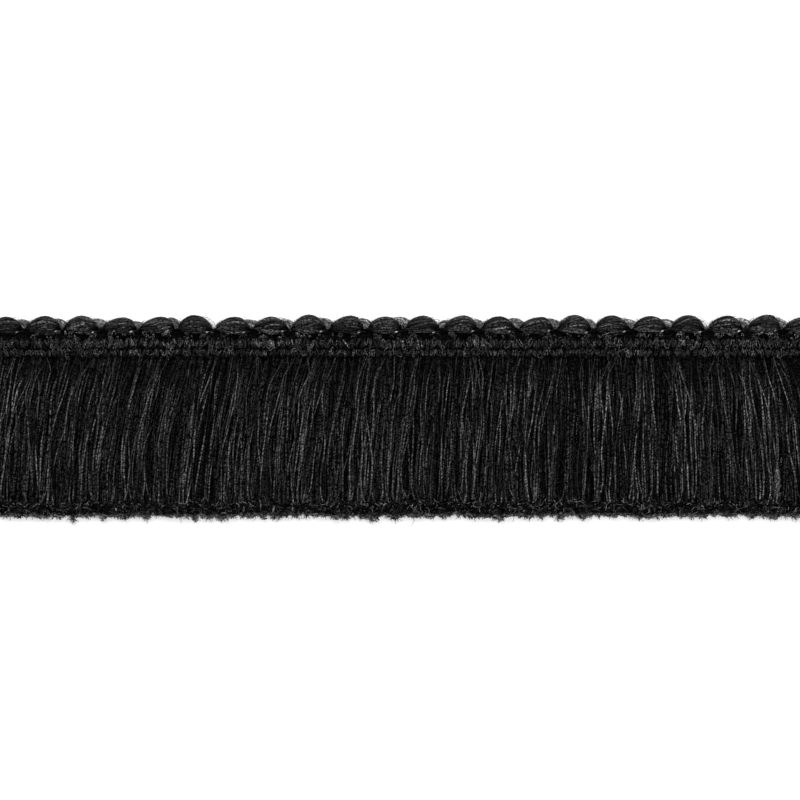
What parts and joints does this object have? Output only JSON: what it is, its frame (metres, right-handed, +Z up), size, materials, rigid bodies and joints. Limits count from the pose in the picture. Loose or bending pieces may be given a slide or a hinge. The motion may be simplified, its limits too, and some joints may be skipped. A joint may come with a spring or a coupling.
{
  "type": "brush fringe trim",
  "caption": "Length of black brush fringe trim lying flat: a ribbed woven heading with a looped, scalloped cord edge and a dense skirt of cut yarns.",
  "frame": {"origin": "middle of the underside of the trim's box, as it lies flat on its back", "axes": "+X along the trim, +Y from the cut ends of the yarns to the scalloped edge, +Z up out of the face"},
  "size_m": [0.2117, 0.0504, 0.0064],
  "materials": {
    "heading_yarn": "matt woven cotton yarn, black",
    "cord_yarn": "soft cord of fine black yarn with a slight sheen",
    "fringe_yarn": "twisted black yarn, cut at its ends, slight sheen"
  },
  "bodies": {
    "root": {"heading": "heading_yarn", "scallop_cord": "cord_yarn", "cut_fringe": "fringe_yarn"}
  },
  "joints": []
}
